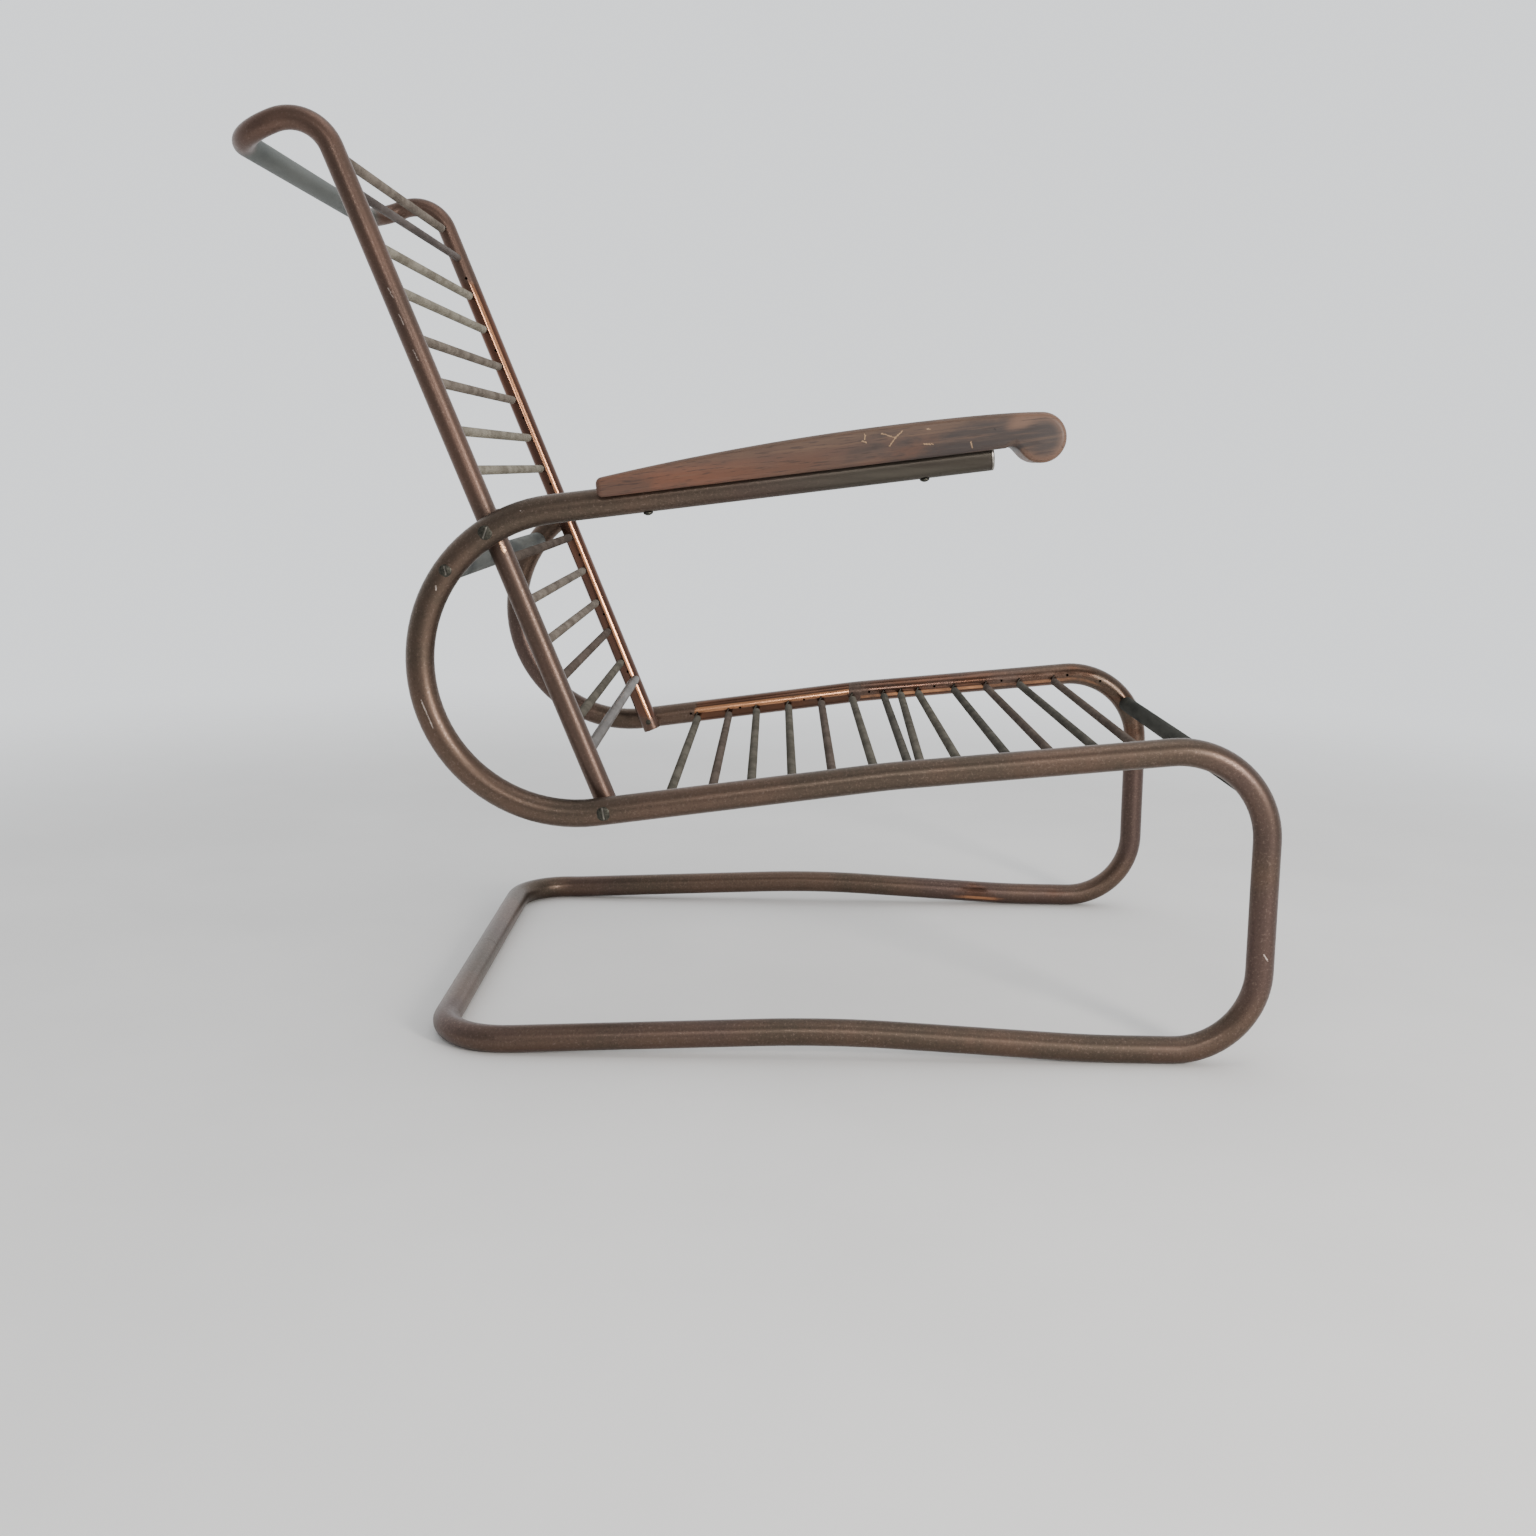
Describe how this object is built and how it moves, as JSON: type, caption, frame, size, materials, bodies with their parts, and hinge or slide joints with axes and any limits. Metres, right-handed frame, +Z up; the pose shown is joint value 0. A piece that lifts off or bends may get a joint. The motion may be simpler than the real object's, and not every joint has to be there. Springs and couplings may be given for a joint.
{
  "type": "cantilever lounge chair",
  "caption": "Low cantilever lounge chair: bent steel tube frame, flat coil springs across seat and back, rolled tube head and wooden arms.",
  "frame": {"origin": "on the floor, under the middle of the chair's box", "axes": "+X to the front of the chair, +Y to the sitter's left, +Z up"},
  "size_m": [0.9276, 0.583, 0.8205],
  "materials": {
    "bronzed_tube": "aged bronze lacquer over copper plating, satin, mottled and rubbed",
    "grey_steel": "dull greenish grey steel, satin",
    "spring_steel": "aged spring wire, dull, greenish grey to brown",
    "screw_steel": "dark steel, worn slots",
    "bright_plug": "worn bare metal",
    "worn_wood": "worn reddish brown stained beech, scratched"
  },
  "bodies": {
    "root": {"side_frame_left": "bronzed_tube", "side_frame_right": "bronzed_tube", "frame_joint_sleeve": "grey_steel", "front_cross_tube": "grey_steel", "rear_brace": "grey_steel", "back_frame": "bronzed_tube", "back_lower_bar": "grey_steel", "back_upper_rod": "bronzed_tube", "seat_spring_01": "spring_steel", "seat_spring_02": "spring_steel", "seat_spring_03": "spring_steel", "seat_spring_04": "spring_steel", "seat_spring_05": "spring_steel", "seat_spring_06": "spring_steel", "seat_spring_07": "spring_steel", "seat_spring_08": "spring_steel", "seat_spring_09": "spring_steel", "seat_spring_10": "spring_steel", "seat_spring_11": "spring_steel", "seat_spring_12": "spring_steel", "seat_spring_13": "spring_steel", "back_spring_01": "spring_steel", "back_spring_02": "spring_steel", "back_spring_03": "spring_steel", "back_spring_04": "spring_steel", "back_spring_05": "spring_steel", "back_spring_06": "spring_steel", "back_spring_07": "spring_steel", "back_spring_08": "spring_steel", "back_spring_09": "spring_steel", "back_spring_10": "spring_steel", "back_spring_11": "spring_steel", "back_spring_12": "spring_steel", "back_spring_13": "spring_steel", "armrest_left": "worn_wood", "armrest_right": "worn_wood", "back_bolt_lower_left": "screw_steel", "back_nut_lower_left": "screw_steel", "back_spacer_lower_left": "screw_steel", "back_bolt_upper_left": "screw_steel", "back_nut_upper_left": "screw_steel", "back_spacer_upper_left": "screw_steel", "brace_screw_left": "screw_steel", "arm_screw_rear_left": "screw_steel", "arm_screw_front_left": "screw_steel", "arm_tube_plug_left": "bright_plug", "back_bolt_lower_right": "screw_steel", "back_nut_lower_right": "screw_steel", "back_spacer_lower_right": "screw_steel", "back_bolt_upper_right": "screw_steel", "back_nut_upper_right": "screw_steel", "back_spacer_upper_right": "screw_steel", "brace_screw_right": "screw_steel", "arm_screw_rear_right": "screw_steel", "arm_screw_front_right": "screw_steel", "arm_tube_plug_right": "bright_plug"}
  },
  "joints": []
}
